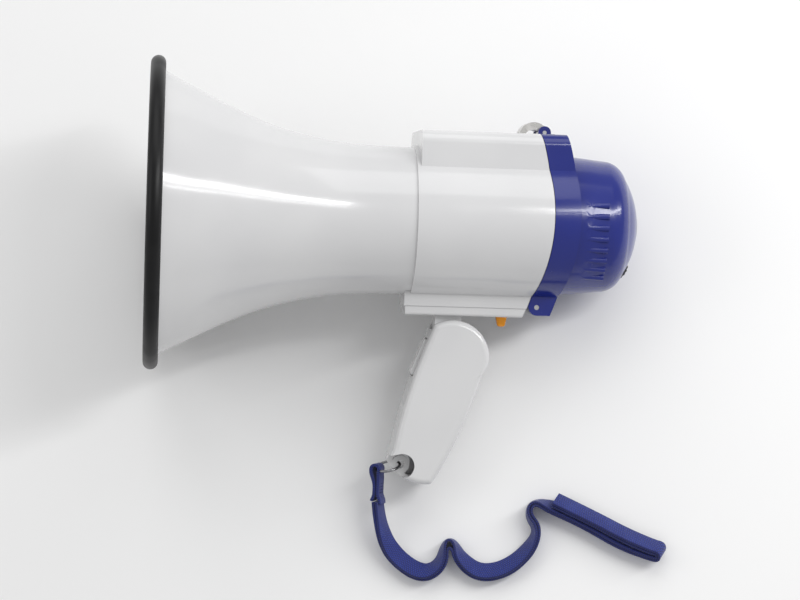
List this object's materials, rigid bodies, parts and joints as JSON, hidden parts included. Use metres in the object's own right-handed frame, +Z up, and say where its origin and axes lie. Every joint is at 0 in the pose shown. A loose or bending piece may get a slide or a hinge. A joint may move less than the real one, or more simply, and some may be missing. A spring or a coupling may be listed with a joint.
{
  "type": "handheld megaphone",
  "caption": "Handheld battery megaphone lying on its side: flared folded horn with rubber rim, ridged housing, hinged rear microphone cap with latch, folding trigger grip and wrist strap.",
  "frame": {"origin": "middle of the footprint on the table, measured without the wrist strap; z = 0 is the table it lies on", "axes": "+X level, along the horn from the rim towards the rear cap; +Z up from the table; +Y along the table from the grip towards the battery ridge"},
  "size_m": [0.2639, 0.2512, 0.1533],
  "materials": {
    "shell_white": "gloss, light grey-white",
    "rim_rubber": "semi-gloss black",
    "soft_rubber": "matt black",
    "cap_blue": "gloss royal blue",
    "knob_orange": "gloss orange",
    "black_plastic": "matt black",
    "alloy_plate": "satin",
    "film": "amber film",
    "copper": "enamelled winding",
    "steel_plate": "zinc plated",
    "ferrite": "dark grey",
    "fastener_steel": "bright plated",
    "cell_jacket": "plain printed jacket",
    "board_green": "solder mask green",
    "can_sleeve": "dark sleeve",
    "latch_nickel": "nickel plated",
    "ring_wire": "dark bright wire",
    "webbing": "woven blue"
  },
  "bodies": {
    "housing": {"horn_bell": "shell_white", "rim_guard": "rim_rubber", "tone_tube": "shell_white", "reflector_cup": "shell_white", "throat_plate": "alloy_plate", "driver_gasket": "soft_rubber", "driver_frame": "black_plastic", "diaphragm": "film", "voice_coil": "copper", "top_plate": "steel_plate", "magnet": "ferrite", "yoke": "steel_plate", "driver_screws": "fastener_steel", "housing": "shell_white", "base_plate": "shell_white", "base_screws": "fastener_steel", "battery_box": "black_plastic", "battery_1": "cell_jacket", "battery_2": "cell_jacket", "battery_3": "cell_jacket", "battery_4": "cell_jacket", "battery_contacts": "fastener_steel", "circuit_board": "board_green", "board_screws": "fastener_steel", "amplifier_chip": "black_plastic", "heat_sink": "alloy_plate", "capacitors": "can_sleeve", "siren_chip": "black_plastic", "slide_switch": "black_plastic", "handle_bracket": "shell_white", "bracket_screws": "fastener_steel", "cap_pin": "fastener_steel"},
    "handle": {"handle_left": "shell_white", "handle_right": "shell_white", "handle_pin": "fastener_steel", "handle_screws": "fastener_steel", "trigger_pin": "fastener_steel", "trigger_spring": "fastener_steel", "trigger_switch": "black_plastic", "strap_ring": "ring_wire", "strap_tab": "webbing", "wrist_strap": "webbing", "strap_hank": "webbing"},
    "trigger": {"trigger": "shell_white"},
    "mode_knob": {"mode_knob": "knob_orange"},
    "cap": {"cap_shell": "cap_blue", "mic_grille": "black_plastic", "mic_boot": "soft_rubber", "mic_capsule": "alloy_plate", "cap_board": "board_green", "cap_screws": "fastener_steel", "volume_control": "black_plastic", "latch_pin": "fastener_steel"},
    "latch": {"latch": "latch_nickel"},
    "volume_wheel": {"volume_wheel": "black_plastic"}
  },
  "joints": [
    {"name": "handle_fold", "type": "hinge", "parent": "housing", "child": "handle", "pos_m": [0.03319, -0.03909, 0.02858], "axis": [0.1812, -0.2952, 0.9381], "range_deg": [0, 60], "deforming": ["strap_tab", "wrist_strap", "strap_hank"]},
    {"name": "trigger_press", "type": "hinge", "parent": "handle", "child": "trigger", "pos_m": [0.01907, -0.04721, 0.02875], "axis": [-0.1812, 0.2952, -0.9381], "range_deg": [0, 4], "stiffness_Nm_per_rad": 0.2, "springref_deg": -2.86},
    {"name": "mode_slide", "type": "slide", "parent": "housing", "child": "mode_knob", "axis": [-0.9818, 0, 0.1897], "range_m": [0, 0.005]},
    {"name": "cap_open", "type": "hinge", "parent": "housing", "child": "cap", "pos_m": [0.07527, -0.01415, 0.0283], "axis": [-0.1812, 0.2952, -0.9381], "range_deg": [0, 80]},
    {"name": "latch_swing", "type": "hinge", "parent": "cap", "child": "latch", "pos_m": [0.08168, 0.06954, 0.05339], "axis": [-0.1812, 0.2952, -0.9381], "range_deg": [0, 100]},
    {"name": "volume_turn", "type": "hinge", "parent": "cap", "child": "volume_wheel", "pos_m": [0.11534, 0.00725, 0.02729], "axis": [-0.1812, 0.2952, -0.9381], "range_deg": [0, 270]}
  ]
}
